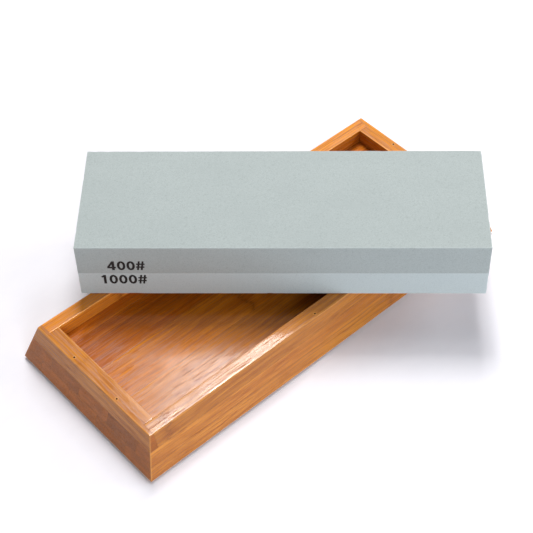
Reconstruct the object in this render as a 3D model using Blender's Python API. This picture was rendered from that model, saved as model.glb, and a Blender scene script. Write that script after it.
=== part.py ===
"""A two-grit whetstone lying crosswise on its laminated bamboo tray.

Metres, +Z up. The origin is on the ground under the tray's centre, and X runs along the tray.
The stone is loose: it lifts straight up off the tray's rim.
"""

import functools
import math

import bmesh
import bpy
from mathutils import Matrix

# Gap between two pieces that touch, and the share of it that each piece gives up.
GAP = 0.0003
HALF_GAP = GAP / 2

# Tray: outer sizes at the bottom edge, with every side leaning in by the same amount.
TRAY_LENGTH = 0.2102
TRAY_WIDTH = 0.0913
TRAY_LEAN = 0.0063
BOARD_THICKNESS = 0.0131
FRAME_THICKNESS = 0.0075
POCKET_LENGTH = 0.1837
POCKET_WIDTH = 0.0659
TRAY_EDGE_ROUND = 0.0004
ROUND_SEGMENTS = 3

# Board: two plies of edge-glued strips. The lower ply's seams mirror the upper ply's.
STRIP_PITCH = 0.020
UPPER_SEAM = 0.0068

# Frame joint: each end rail has a thin lip that covers the side rails' ends.
RABBET_LIP = 0.0018

# Feet.
FOOT_RADIUS = 0.005
FOOT_THICKNESS = 0.0009
FOOT_INSET = 0.013
FOOT_ROUND = 0.0002

# Brads, set below the surface in holes that stay open.
BRAD_RADIUS = 0.0005
BRAD_LENGTH = 0.0115
BRAD_POINT = 0.0012
BRAD_TIP_RADIUS = 0.00015
BRAD_SINK = 0.001
BRAD_TO_RIM_EDGE = 0.0018
END_BRAD_SPREAD = 0.0149
FRONT_BRAD_X = -0.0044

# Stone.
STONE_LENGTH = 0.180
STONE_WIDTH = 0.060
STONE_HEIGHT = 0.030
FINE_HEIGHT = 0.0135
STONE_CENTRE = (0.01335, 0.00238)
STONE_TURN = math.radians(-42.83)
STONE_CHAMFER = 0.0004

# Levels, from the ground up.
BOARD_BOTTOM = FOOT_THICKNESS + GAP
PLY_LINE = BOARD_BOTTOM + BOARD_THICKNESS / 2
BOARD_TOP = BOARD_BOTTOM + BOARD_THICKNESS
RIM_TOP = BOARD_TOP + FRAME_THICKNESS
STONE_BOTTOM = RIM_TOP + GAP
BOND_LINE = STONE_BOTTOM + FINE_HEIGHT
STONE_TOP = STONE_BOTTOM + STONE_HEIGHT

RIM_LENGTH = TRAY_LENGTH - 2 * TRAY_LEAN
RIM_WIDTH = TRAY_WIDTH - 2 * TRAY_LEAN

ROUND_SIDES = 48
BRAD_SIDES = 16
SMOOTH_ANGLE = math.radians(40)
SAME_PLACE = 1e-6

# Finishes: colour, roughness, metallic.
FINISHES = {
    "coarse_grit": ((0.53, 0.58, 0.56), 0.9, 0.0),
    "fine_grit": ((0.58, 0.63, 0.65), 0.85, 0.0),
    "bamboo_board": ((0.55, 0.27, 0.09), 0.35, 0.0),
    "bamboo_rail": ((0.62, 0.31, 0.11), 0.3, 0.0),
    "brad_steel": ((0.25, 0.24, 0.23), 0.45, 1.0),
    "rubber_foot": ((0.05, 0.05, 0.05), 0.8, 0.0),
}


def clear_scene():
    """Removes every object of the scene."""
    for existing in list(bpy.data.objects):
        bpy.data.objects.remove(existing, do_unlink=True)


def make_finish(name):
    """A material with one Principled BSDF."""
    colour, roughness, metallic = FINISHES[name]
    material = bpy.data.materials.new(name)
    material.use_nodes = True
    shader = material.node_tree.nodes["Principled BSDF"]
    shader.inputs["Base Color"].default_value = (*colour, 1.0)
    shader.inputs["Roughness"].default_value = roughness
    shader.inputs["Metallic"].default_value = metallic
    material.diffuse_color = (*colour, 1.0)
    return material


def add_object(name, shape, finish=None, parent=None):
    """An object made from a bmesh, which is freed."""
    mesh = bpy.data.meshes.new(name)
    bmesh.ops.recalc_face_normals(shape, faces=shape.faces)
    shape.to_mesh(mesh)
    shape.free()
    if finish:
        mesh.materials.append(finish)
    part = bpy.data.objects.new(name, mesh)
    bpy.context.scene.collection.objects.link(part)
    part.parent = parent
    return part


def loft(outline_at, levels):
    """A closed solid through a plan outline taken at each level, from the lowest up."""
    shape = bmesh.new()
    rings = [[shape.verts.new((x, y, level)) for x, y in outline_at(level)] for level in levels]
    corners = len(rings[0])
    for lower, upper in zip(rings, rings[1:]):
        for here in range(corners):
            after = (here + 1) % corners
            shape.faces.new((lower[here], lower[after], upper[after], upper[here]))
    shape.faces.new(rings[0])
    shape.faces.new(rings[-1])
    return shape


def round_edges(shape, wanted, width, segments=ROUND_SEGMENTS):
    """Rounds the edges whose two ends pass the test."""
    edges = [edge for edge in shape.edges if wanted(edge.verts[0].co, edge.verts[1].co)]
    bmesh.ops.bevel(shape, geom=edges, offset=width, segments=segments, profile=0.5, affect="EDGES")


def rectangle(low_x, high_x, low_y, high_y):
    """A plan outline."""
    return [(low_x, low_y), (high_x, low_y), (high_x, high_y), (low_x, high_y)]


def lean_at(height):
    """How far the tray's sides have leaned in at this height."""
    return TRAY_LEAN * (height - BOARD_BOTTOM) / (RIM_TOP - BOARD_BOTTOM)


def half_length(height):
    """Half the tray's outer length at this height."""
    return TRAY_LENGTH / 2 - lean_at(height)


def half_width(height):
    """Half the tray's outer width at this height."""
    return TRAY_WIDTH / 2 - lean_at(height)


def seams(first_seam):
    """Seam positions across the board, a pitch apart, that fall inside its width."""
    steps = range(-4, 5)
    places = [first_seam + STRIP_PITCH * step for step in steps]
    return [place for place in places if abs(place) < TRAY_WIDTH / 2 - STRIP_PITCH / 2]


def strip_outline(low_seam, high_seam, height):
    """A strip's plan outline. A missing seam means that the strip ends at the tray's leaning side."""
    low_y = -half_width(height) if low_seam is None else low_seam + HALF_GAP
    high_y = half_width(height) if high_seam is None else high_seam - HALF_GAP
    return rectangle(-half_length(height), half_length(height), low_y, high_y)


def on_tray_edge(first, second):
    """True for the tray's upright outer corner edges and the rim's outer top edges."""
    ends = (first, second)
    on_end = all(abs(abs(end.x) - half_length(end.z)) < SAME_PLACE for end in ends)
    on_side = all(abs(abs(end.y) - half_width(end.z)) < SAME_PLACE for end in ends)
    at_top = all(abs(end.z - RIM_TOP) < SAME_PLACE for end in ends)
    return (on_end and on_side) or (at_top and (on_end or on_side))


def build_ply(prefix, low, high, places, finish):
    """The strips of one ply, numbered from the front."""
    bounds = [None, *places, None]
    strips = []
    for number in range(len(bounds) - 1):
        outline_at = functools.partial(strip_outline, bounds[number], bounds[number + 1])
        shape = loft(outline_at, (low, high))
        round_edges(shape, on_tray_edge, TRAY_EDGE_ROUND)
        strips.append(add_object(f"{prefix}_strip_{number + 1}", shape, finish))
    return strips


def end_rail_outline(side, height):
    """An end rail in plan: a tongue between the side rails, and a lip that covers their ends."""
    outer = side * half_length(height)
    joint = side * (RIM_LENGTH / 2 - RABBET_LIP + HALF_GAP)
    inner = side * POCKET_LENGTH / 2
    tongue = POCKET_WIDTH / 2 - GAP
    wide = half_width(height)
    return [
        (joint, -wide),
        (outer, -wide),
        (outer, wide),
        (joint, wide),
        (joint, tongue),
        (inner, tongue),
        (inner, -tongue),
        (joint, -tongue),
    ]


def side_rail_outline(side, height):
    """A side rail in plan, from lip to lip."""
    reach = RIM_LENGTH / 2 - RABBET_LIP - HALF_GAP
    across = sorted((side * POCKET_WIDTH / 2, side * half_width(height)))
    return rectangle(-reach, reach, *across)


def build_rail(name, outline, side, finish):
    """One rail of the frame, with its outer edges rounded."""
    shape = loft(functools.partial(outline, side), (BOARD_TOP + GAP, RIM_TOP))
    round_edges(shape, on_tray_edge, TRAY_EDGE_ROUND)
    return add_object(name, shape, finish)


def brad_plan():
    """Each brad's rail and its place in plan, by name."""
    end_x = RIM_LENGTH / 2 - BRAD_TO_RIM_EDGE
    side_y = RIM_WIDTH / 2 - BRAD_TO_RIM_EDGE
    plan = {}
    for end, x in (("near", -end_x), ("far", end_x)):
        for hand, y in (("left", END_BRAD_SPREAD), ("right", -END_BRAD_SPREAD)):
            plan[f"{end}_brad_{hand}"] = (f"{end}_end_rail", (x, y))
    plan["front_brad"] = ("front_side_rail", (FRONT_BRAD_X, -side_y))
    plan["back_brad"] = ("back_side_rail", (-FRONT_BRAD_X, side_y))
    return plan


def circle(centre, radius):
    """A round plan outline."""
    steps = [math.tau * step / BRAD_SIDES for step in range(BRAD_SIDES)]
    return [
        (centre[0] + radius * math.cos(turn), centre[1] + radius * math.sin(turn)) for turn in steps
    ]


def build_brad(name, place, finish):
    """A headless brad: a round shank that ends in a blunt point."""
    top = RIM_TOP - BRAD_SINK
    tip = top - BRAD_LENGTH

    def outline_at(level):
        return circle(place, BRAD_TIP_RADIUS if level == tip else BRAD_RADIUS)

    brad = add_object(name, loft(outline_at, (tip, tip + BRAD_POINT, top)), finish)
    shade_round(brad)


def build_brad_cutter(name, place):
    """The hole that a brad stands in, open at the rim's top."""
    low = RIM_TOP - BRAD_SINK - BRAD_LENGTH - GAP
    cutter = add_object(name, loft(lambda level: circle(place, BRAD_RADIUS + GAP), (low, RIM_TOP + GAP)))
    cutter.hide_render = True
    cutter.display_type = "WIRE"
    return cutter


def cut_hole(part, cutter):
    """Takes the cutter's shape out of the part."""
    cut = part.modifiers.new(f"hole_{cutter.name}", "BOOLEAN")
    cut.operation = "DIFFERENCE"
    cut.solver = "EXACT"
    cut.object = cutter


def covers(part, place):
    """True where the place lies inside the part's plan box."""
    xs = [corner.co.x for corner in part.data.vertices]
    ys = [corner.co.y for corner in part.data.vertices]
    return min(xs) < place[0] < max(xs) and min(ys) < place[1] < max(ys)


def build_foot(name, place, finish):
    """A thin round rubber foot with its lower edge rounded."""
    shape = bmesh.new()
    bmesh.ops.create_cone(
        shape, cap_ends=True, segments=ROUND_SIDES, radius1=FOOT_RADIUS, radius2=FOOT_RADIUS,
        depth=FOOT_THICKNESS, matrix=Matrix.Translation((*place, FOOT_THICKNESS / 2)),
    )
    round_edges(shape, lambda first, second: max(first.z, second.z) < SAME_PLACE, FOOT_ROUND, 2)
    foot = add_object(name, shape, finish)
    shade_round(foot)
    return foot


def shade_round(part):
    """Smooth shading that keeps the sharp edges."""
    part.data.shade_smooth()
    part.data.set_sharp_from_angle(angle=SMOOTH_ANGLE)


def build_layer(name, low, high, outer_level, finish, parent):
    """One grit of the stone, chamfered everywhere but along the bond."""
    half_x = STONE_LENGTH / 2
    half_y = STONE_WIDTH / 2
    plan = rectangle(-half_x, half_x, -half_y, half_y)
    base = parent.location.z
    shape = loft(lambda level: plan, (low - base, high - base))
    outer = outer_level - base

    def outside(first, second):
        upright = abs(first.z - second.z) > GAP
        on_face = all(abs(end.z - outer) < SAME_PLACE for end in (first, second))
        return upright or on_face

    round_edges(shape, outside, STONE_CHAMFER, 1)
    return add_object(name, shape, finish, parent)


def build_stone(finishes):
    """The loose stone: two bonded layers on an empty at the middle of its underside."""
    seat = bpy.data.objects.new("stone_seat", None)
    bpy.context.scene.collection.objects.link(seat)
    seat.location = (*STONE_CENTRE, STONE_BOTTOM)
    seat.rotation_euler.z = STONE_TURN
    build_layer("fine_stone", STONE_BOTTOM, BOND_LINE - HALF_GAP, STONE_BOTTOM,
                finishes["fine_grit"], seat)
    build_layer("coarse_stone", BOND_LINE + HALF_GAP, STONE_TOP, STONE_TOP,
                finishes["coarse_grit"], seat)


def build_tray(finishes):
    """The board, the frame on it, the brads through both, and the feet below."""
    board = finishes["bamboo_board"]
    wood = finishes["bamboo_rail"]
    upper_seams = seams(UPPER_SEAM)
    lower_seams = sorted(-place for place in upper_seams)
    build_ply("lower", BOARD_BOTTOM, PLY_LINE - HALF_GAP, lower_seams, board)
    strips = build_ply("upper", PLY_LINE + HALF_GAP, BOARD_TOP, upper_seams, board)
    rails = {
        "near_end_rail": build_rail("near_end_rail", end_rail_outline, -1, wood),
        "far_end_rail": build_rail("far_end_rail", end_rail_outline, 1, wood),
        "front_side_rail": build_rail("front_side_rail", side_rail_outline, -1, wood),
        "back_side_rail": build_rail("back_side_rail", side_rail_outline, 1, wood),
    }
    for name, (rail_name, place) in brad_plan().items():
        build_brad(name, place, finishes["brad_steel"])
        cutter = build_brad_cutter(f"{name}_hole", place)
        crossed = [strip for strip in strips if covers(strip, place)]
        for wooden in [*crossed, rails[rail_name]]:
            cut_hole(wooden, cutter)
    foot_x = TRAY_LENGTH / 2 - FOOT_INSET
    foot_y = TRAY_WIDTH / 2 - FOOT_INSET
    for end, x in (("near", -foot_x), ("far", foot_x)):
        for side, y in (("front", -foot_y), ("back", foot_y)):
            build_foot(f"foot_{end}_{side}", (x, y), finishes["rubber_foot"])


def main():
    """Builds the whole object."""
    clear_scene()
    finishes = {name: make_finish(name) for name in FINISHES}
    build_tray(finishes)
    build_stone(finishes)


main()
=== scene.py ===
"""The looks of a two-grit whetstone that lies crosswise over its bamboo tray.

Metres, +Z up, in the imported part's frame: the origin is on the ground under the tray's centre and X runs
along the tray. The wooden pieces, the two grits and the feet are cut again here with eased edges, brad
holes, sanding and grain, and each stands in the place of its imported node. The brads keep their own.
"""

from __future__ import annotations

import functools
import logging
import math
from collections.abc import Callable, Iterable, Mapping, Sequence
from dataclasses import dataclass, field
from enum import Enum

import bmesh
import bpy
from mathutils import Euler, Matrix, Vector, noise


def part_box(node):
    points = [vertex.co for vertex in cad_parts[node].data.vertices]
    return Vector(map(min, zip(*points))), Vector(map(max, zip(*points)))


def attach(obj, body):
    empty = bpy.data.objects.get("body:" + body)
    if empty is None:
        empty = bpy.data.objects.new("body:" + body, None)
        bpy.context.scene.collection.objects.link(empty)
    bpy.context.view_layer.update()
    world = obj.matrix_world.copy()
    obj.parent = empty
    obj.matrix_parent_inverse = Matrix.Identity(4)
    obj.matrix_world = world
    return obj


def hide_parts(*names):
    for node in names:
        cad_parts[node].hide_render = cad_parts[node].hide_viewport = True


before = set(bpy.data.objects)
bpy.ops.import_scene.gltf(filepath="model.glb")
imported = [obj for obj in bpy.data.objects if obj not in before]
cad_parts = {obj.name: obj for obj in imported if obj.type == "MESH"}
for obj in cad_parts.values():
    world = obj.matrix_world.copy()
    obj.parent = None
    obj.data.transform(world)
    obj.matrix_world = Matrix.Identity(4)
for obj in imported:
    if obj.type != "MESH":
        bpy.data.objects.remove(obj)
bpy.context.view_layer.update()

LOG = logging.getLogger("whetstone")

Place = tuple[float, float]
Outline = list[Place]
Colour = tuple[float, float, float]
Plane = tuple[Vector, Vector]
Socket = bpy.types.NodeSocket
Value = float | Sequence[float] | Socket
Tree = bpy.types.NodeTree
Shape = bmesh.types.BMesh

MM = 0.001
BROADEST_EASE = 0.38 * MM
EASE_SEGMENTS = 3
# How far in from an edge the distances in the mesh reach, and where its faces are parted for them.
REACH = 1.5 * MM
SAME_PLACE = 1e-6
SMOOTH_ANGLE = math.radians(38)
# Fixes the wander of the sanded surfaces, so that each run gives the same ones.
NOISE_SEED = 1
# How far a pattern moves for each step of its seed.
SEED_STEP = (173.0, 59.0, 31.0)
# How squarely a face has to cut the fibres to show their ends.
CUTS_FIBRES = 0.7


# ---- Choices ----


class Face(Enum):
    """What one face of a piece is: its name, how wide its edges are eased, and whether it is open to the air."""

    OUTSIDE = ("outside", 0.24 * MM, True)
    RIM = ("rim", 0.30 * MM, True)
    POCKET = ("pocket", 0.28 * MM, True)
    UNDERSIDE = ("underside", 0.22 * MM, True)
    GRIT = ("grit", 0.24 * MM, True)
    FLOOR = ("floor", 0.06 * MM, False)
    JOINT = ("joint", 0.05 * MM, False)

    @property
    def ease(self) -> float:
        """How wide the face's edges are eased, in metres."""
        return self.value[1]

    @property
    def open(self) -> bool:
        """Whether hands and cloths reach the face's edges."""
        return self.value[2]


class Grain(Enum):
    """The way a piece's fibres run, as the turn that lays them along X."""

    ALONG_X = 0.0
    ALONG_Y = -math.pi / 2

    @property
    def direction(self) -> Vector:
        """The fibres' direction in the tray's frame."""
        return Vector((1, 0, 0)) if self is Grain.ALONG_X else Vector((0, 1, 0))


class Mark(Enum):
    """A character of the grade marks."""

    NOUGHT = "0"
    ONE = "1"
    FOUR = "4"
    NUMBER_SIGN = "#"


# ---- Shader nodes ----


class Sheet:
    """Adds nodes to one shader tree and links them."""

    def __init__(self, tree: Tree) -> None:
        """Takes the tree to write in."""
        self.tree = tree

    def feed(self, socket: Socket, value: Value) -> None:
        """Links a socket to an output, or sets its value.

        Args:
            socket: the input to fill.
            value: an output of the same tree, a number, or a colour or vector.
        """
        if isinstance(value, Socket):
            self.tree.links.new(value, socket)
            return
        if socket.type == "RGBA" and len(value) == 3:
            value = (*value, 1.0)
        socket.default_value = value

    def fill(self, inputs: Mapping, **values: Value) -> None:
        """Feeds several inputs by their names, with _ for a space."""
        for name, value in values.items():
            self.feed(inputs[name.replace("_", " ")], value)

    def add(self, kind: str, sockets: Mapping[str | int, Value], **settings: object) -> bpy.types.Node:
        """Adds one node.

        Args:
            kind: the node's type, without the ShaderNode that every type starts with.
            sockets: what each named or numbered input gets.
            settings: the node's own options.

        Returns:
            The node.
        """
        node = self.tree.nodes.new("ShaderNode" + kind)
        for name, setting in settings.items():
            setattr(node, name, setting)
        for name, value in sockets.items():
            self.feed(node.inputs[name], value)
        return node

    def maths(self, operation: str, *values: Value) -> Socket:
        """The result of a Math node on up to three values."""
        return self.add("Math", dict(enumerate(values)), operation=operation).outputs[0]

    def vector_maths(self, operation: str, *values: Value) -> Socket:
        """The result of a Vector Math node on up to three vectors."""
        node = self.add("VectorMath", dict(enumerate(values)), operation=operation)
        return node.outputs["Value" if operation in ("DISTANCE", "LENGTH") else "Vector"]

    def times(self, value: Value, factor: Value) -> Socket:
        """One value times another."""
        return self.maths("MULTIPLY", value, factor)

    def mix(self, share: Value, first: Value, second: Value) -> Socket:
        """Two colours mixed: the first at a share of 0, the second at 1."""
        return self.add("Mix", {0: share, 6: first, 7: second}, data_type="RGBA").outputs[2]

    def tint(self, colour: Value, mask: Value, strength: float, towards: Value) -> Socket:
        """A colour carried towards another where a mask shows, by a strength from 0 to 1."""
        return self.mix(self.times(mask, strength), colour, towards)

    def fade(self, value: Value, start: float, end: float, low: Value = 0.0, high: Value = 1.0) -> Socket:
        """A value carried smoothly from one range to another, and held at its ends.

        Args:
            value: what is carried over.
            start: where the result is low.
            end: where the result is high.
            low: the result at and before start.
            high: the result at and past end.

        Returns:
            The result.
        """
        sockets = {"Value": value, "From Min": start, "From Max": end, "To Min": low, "To Max": high}
        return self.add("MapRange", sockets, interpolation_type="SMOOTHSTEP").outputs[0]

    def stretch(self, vector: Value, scale: Sequence[float], turn: float = 0.0) -> Socket:
        """Coordinates scaled by axis, then turned about Z."""
        sockets = {"Vector": vector, "Scale": scale, "Rotation": (0.0, 0.0, turn)}
        return self.add("Mapping", sockets).outputs[0]

    def cloud(self, vector: Value, scale: float, detail: float = 2.0, rough: float = 0.5) -> Socket:
        """Noise around 0.5.

        Args:
            vector: the coordinates.
            scale: the noise's frequency.
            detail: how many finer layers it has.
            rough: how strong those are.

        Returns:
            The noise.
        """
        sockets = {"Vector": vector, "Scale": scale, "Detail": detail, "Roughness": rough}
        return self.add("TexNoise", sockets).outputs[0]

    def use(self, effect: Tree, **sockets: Value) -> bpy.types.bpy_prop_collection:
        """Places an effect's group.

        Args:
            effect: the node group.
            sockets: its inputs, with _ for a space.

        Returns:
            Its outputs, by name.
        """
        node = self.tree.nodes.new("ShaderNodeGroup")
        node.node_tree = effect
        self.fill(node.inputs, **sockets)
        return node.outputs

    def millimetres(self, turn: float = 0.0) -> Socket:
        """The piece's own coordinates in millimetres, turned about Z."""
        source = self.tree.nodes.new("ShaderNodeTexCoord").outputs["Object"]
        return self.stretch(source, (1 / MM, 1 / MM, 1 / MM), turn)

    def stored(self, name: str) -> Socket:
        """A number stored in the piece's mesh."""
        return self.add("Attribute", {}, attribute_name=name).outputs["Fac"]

    def bump(self, height: Value, depth: float) -> Socket:
        """A normal from a height of 0 to 1 that stands for a depth in metres."""
        return self.add("Bump", {"Height": height, "Distance": depth, "Strength": 1.0}).outputs[0]


def new_effect(
    name: str, takes: Mapping[str, float | None], gives: Iterable[str]
) -> tuple[Sheet, Mapping, Mapping, Socket]:
    """Makes a node group that takes coordinates, a seed and more.

    Args:
        name: the group's name.
        takes: each further input with its default, or None for a vector.
        gives: the outputs, which are all numbers.

    Returns:
        The sheet to draw in, the group's inputs as outputs, its outputs as inputs, and the coordinates moved away
        by the seed, so that each piece has a pattern of its own.
    """
    tree = bpy.data.node_groups.new(name, "ShaderNodeTree")
    for socket, default in {"Vector": None, **takes, "Seed": 0.0}.items():
        kind = "NodeSocketVector" if default is None else "NodeSocketFloat"
        made = tree.interface.new_socket(name=socket, in_out="INPUT", socket_type=kind)
        if default is not None:
            made.default_value = default
    for socket in gives:
        tree.interface.new_socket(name=socket, in_out="OUTPUT", socket_type="NodeSocketFloat")
    sheet, given = Sheet(tree), tree.nodes.new("NodeGroupInput").outputs
    result = tree.nodes.new("NodeGroupOutput").inputs
    step = sheet.add("VectorMath", {0: SEED_STEP, "Scale": given["Seed"]}, operation="SCALE")
    return sheet, given, result, sheet.vector_maths("ADD", given["Vector"], step.outputs[0])


@functools.cache
def fibre_effect() -> Tree:
    """Long fibres along X: broad streaks, thin dark lines, short flecks and a slow change of tone."""
    gives = ("Streak", "Line", "Fleck", "Patch", "Height")
    sheet, _, result, place = new_effect("fibre_grain", {}, gives)
    sway = sheet.times(sheet.cloud(sheet.stretch(place, (0.018, 0.06, 0.06)), 1.0), 3.0)
    place = sheet.vector_maths("ADD", place, sheet.add("CombineXYZ", {1: sway, 2: sway}).outputs[0])
    streak = sheet.cloud(sheet.stretch(place, (0.015, 0.7, 0.7)), 1.0, 5.0, 0.78)
    line = sheet.cloud(sheet.stretch(place, (0.014, 1.9, 1.9)), 1.0, 2.0)
    fleck = sheet.cloud(sheet.stretch(place, (0.1, 1.8, 1.8)), 1.0, 2.0, 0.6)
    patch = sheet.cloud(sheet.stretch(place, (0.02, 0.11, 0.11)), 1.0, 2.0)
    sheet.fill(
        result, Streak=sheet.fade(streak, 0.33, 0.67), Line=sheet.fade(line, 0.50, 0.66),
        Fleck=sheet.fade(fleck, 0.51, 0.63), Patch=sheet.fade(patch, 0.3, 0.7),
        Height=sheet.maths("ADD", sheet.times(line, 0.65), sheet.times(fleck, 0.35)),
    )
    return sheet.tree


@functools.cache
def culm_node_effect() -> Tree:
    """The band across the fibres where the cane had a node, with the darker ridge inside it."""
    takes = {"Along": 0.0, "Across": 0.0, "Slant": 0.0, "Width": 4.0, "Reach": 8.0}
    sheet, given, result, place = new_effect("culm_node", takes, ("Band", "Ridge"))
    parts = sheet.add("SeparateXYZ", {0: given["Vector"]}).outputs
    ragged = sheet.cloud(sheet.stretch(place, (0.12, 0.9, 0.9)), 1.0, 3.0)
    ragged = sheet.times(sheet.maths("SUBTRACT", ragged, 0.5), sheet.times(given["Width"], 2.2))
    across = sheet.maths("SUBTRACT", parts["Y"], given["Across"])
    middle = sheet.maths("ADD", given["Along"], sheet.times(given["Slant"], across))
    along = sheet.maths("ADD", sheet.maths("SUBTRACT", parts["X"], middle), ragged)
    far = sheet.maths("DIVIDE", sheet.maths("ABSOLUTE", along), given["Width"])
    ended = sheet.fade(sheet.maths("DIVIDE", sheet.maths("ABSOLUTE", across), given["Reach"]), 0.7, 1.15, 1.0, 0.0)
    sheet.fill(
        result, Band=sheet.times(sheet.fade(far, 0.15, 1.0, 1.0, 0.0), ended),
        Ridge=sheet.times(sheet.fade(far, 0.0, 0.28, 1.0, 0.0), ended),
    )
    return sheet.tree


@functools.cache
def end_grain_effect() -> Tree:
    """The cut ends of the fibres: dark bundles in paler pith."""
    sheet, _, result, place = new_effect("end_grain", {}, ("Bundle", "Tone"))
    cells = sheet.add("TexVoronoi", {"Vector": sheet.stretch(place, (0.05, 1.7, 2.3)), "Scale": 1.0})
    tone = sheet.cloud(sheet.stretch(place, (0.02, 0.16, 0.5)), 1.0, 3.0)
    bundle = sheet.fade(cells.outputs["Distance"], 0.12, 0.42, 1.0, 0.0)
    sheet.fill(result, Bundle=bundle, Tone=sheet.fade(tone, 0.32, 0.68))
    return sheet.tree


@functools.cache
def near_edge_effect() -> Tree:
    """A ragged mask along edges, from the distance to them in millimetres."""
    takes = {"Distance": 1.0, "Width": 0.8, "Ragged": 0.3}
    sheet, given, result, place = new_effect("near_edge", takes, ("Mask",))
    uneven = sheet.maths("SUBTRACT", sheet.cloud(sheet.stretch(place, (0.5, 0.5, 0.5)), 1.0, 4.0, 0.65), 0.5)
    far = sheet.maths("MULTIPLY_ADD", uneven, sheet.times(given["Ragged"], 2.0), given["Distance"])
    share = sheet.maths("DIVIDE", far, given["Width"])
    sheet.fill(result, Mask=sheet.fade(share, 0.25, 1.0, 1.0, 0.0))
    return sheet.tree


@functools.cache
def grit_effect() -> Tree:
    """Bonded grains: a fine speckle, scattered darker grains, slow clouds, and their height."""
    gives = ("Speck", "Dark Grain", "Cloud", "Height")
    sheet, given, result, place = new_effect("bonded_grit", {"Grain Size": 0.3}, gives)
    often = sheet.maths("DIVIDE", 1.0, given["Grain Size"])
    speck = sheet.cloud(place, often, 3.0, 0.7)
    cells = sheet.add("TexVoronoi", {"Vector": place, "Scale": sheet.times(often, 0.8)})
    chosen = sheet.add("SeparateColor", {0: cells.outputs["Color"]}).outputs[0]
    cloud = sheet.cloud(sheet.stretch(place, (0.045, 0.07, 0.07)), 1.0, 4.0, 0.6)
    sheet.fill(
        result, Speck=sheet.fade(speck, 0.3, 0.7), Dark_Grain=sheet.fade(chosen, 0.86, 0.97),
        Cloud=sheet.fade(cloud, 0.3, 0.7),
        Height=sheet.maths("ADD", speck, sheet.times(cells.outputs["Distance"], 0.5)),
    )
    return sheet.tree


@functools.cache
def handling_effect() -> Tree:
    """Where a surface has been touched or holds dust: broad smudges and fine dust."""
    sheet, _, result, place = new_effect("handling", {}, ("Smudge", "Dust"))
    smudge = sheet.cloud(sheet.stretch(place, (0.05, 0.09, 0.09)), 1.0, 5.0, 0.62)
    dust = sheet.cloud(place, 1.4, 5.0, 0.7)
    sheet.fill(result, Smudge=sheet.fade(smudge, 0.38, 0.68), Dust=sheet.fade(dust, 0.52, 0.78))
    return sheet.tree


@functools.cache
def brad_mouth_effect() -> Tree:
    """The ring of lifted fibres round a brad's hole, made paler as a painted highlight, and painted shade inside the
    hole.
    """
    sheet, given, result, place = new_effect("brad_mouth", {"Hole": None}, ("Lifted", "Stain"))
    flat = sheet.vector_maths("MULTIPLY", given["Vector"], (1.0, 1.0, 0.0))
    far = sheet.vector_maths("DISTANCE", flat, given["Hole"])
    far = sheet.maths("MULTIPLY_ADD", sheet.maths("SUBTRACT", sheet.cloud(place, 1.3, 2.0), 0.5), 0.9, far)
    # The paler ring is a painted highlight on the lifted fibres; the dark middle is painted shade on the hole's mouth
    # and wall.
    ring = sheet.times(sheet.fade(far, 0.42, 0.6), sheet.fade(far, 0.75, 1.1, 1.0, 0.0))
    sheet.fill(result, Lifted=ring, Stain=sheet.fade(far, 0.36, 0.56, 1.0, 0.0))
    return sheet.tree


# ---- Finishes ----


def toned(colour: Colour, tone: float) -> Colour:
    """A colour made lighter or darker."""
    return tuple(part * tone for part in colour)


def edge_mask(sheet: Sheet, place: Value, distance: str, width: float, ragged: float, seed: float) -> Socket:
    """A ragged mask along a piece's edges.

    Args:
        sheet: the material's sheet.
        place: coordinates in millimetres.
        distance: the stored distance that it follows.
        width: how wide it is, in millimetres.
        ragged: how far its border wanders, in millimetres.
        seed: what makes it this piece's own.

    Returns:
        The mask.
    """
    far = sheet.stored(distance)
    return sheet.use(near_edge_effect(), Vector=place, Distance=far, Width=width, Ragged=ragged, Seed=seed)["Mask"]


def new_material(name: str) -> tuple[Sheet, bpy.types.Node, bpy.types.Material]:
    """Makes a material with one Principled BSDF.

    Args:
        name: the material's name.

    Returns:
        A sheet to draw its nodes in, the shader, and the material.
    """
    material = bpy.data.materials.new(name)
    material.use_nodes = True
    return Sheet(material.node_tree), material.node_tree.nodes["Principled BSDF"], material


@dataclass(frozen=True)
class CulmNode:
    """One node of the cane that shows on a piece.

    Attributes:
        along: where it is along the fibres, in millimetres.
        across: the middle of it across the fibres, in millimetres.
        slant: how much it leans along the fibres for each step across.
        width: how wide its band is, in millimetres.
        reach: how far it goes to each side, in millimetres.
        depth: how dark it is, from 0 to 1.
    """

    along: float
    across: float = 0.0
    slant: float = 0.0
    width: float = 4.0
    reach: float = 12.0
    depth: float = 0.6


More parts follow.
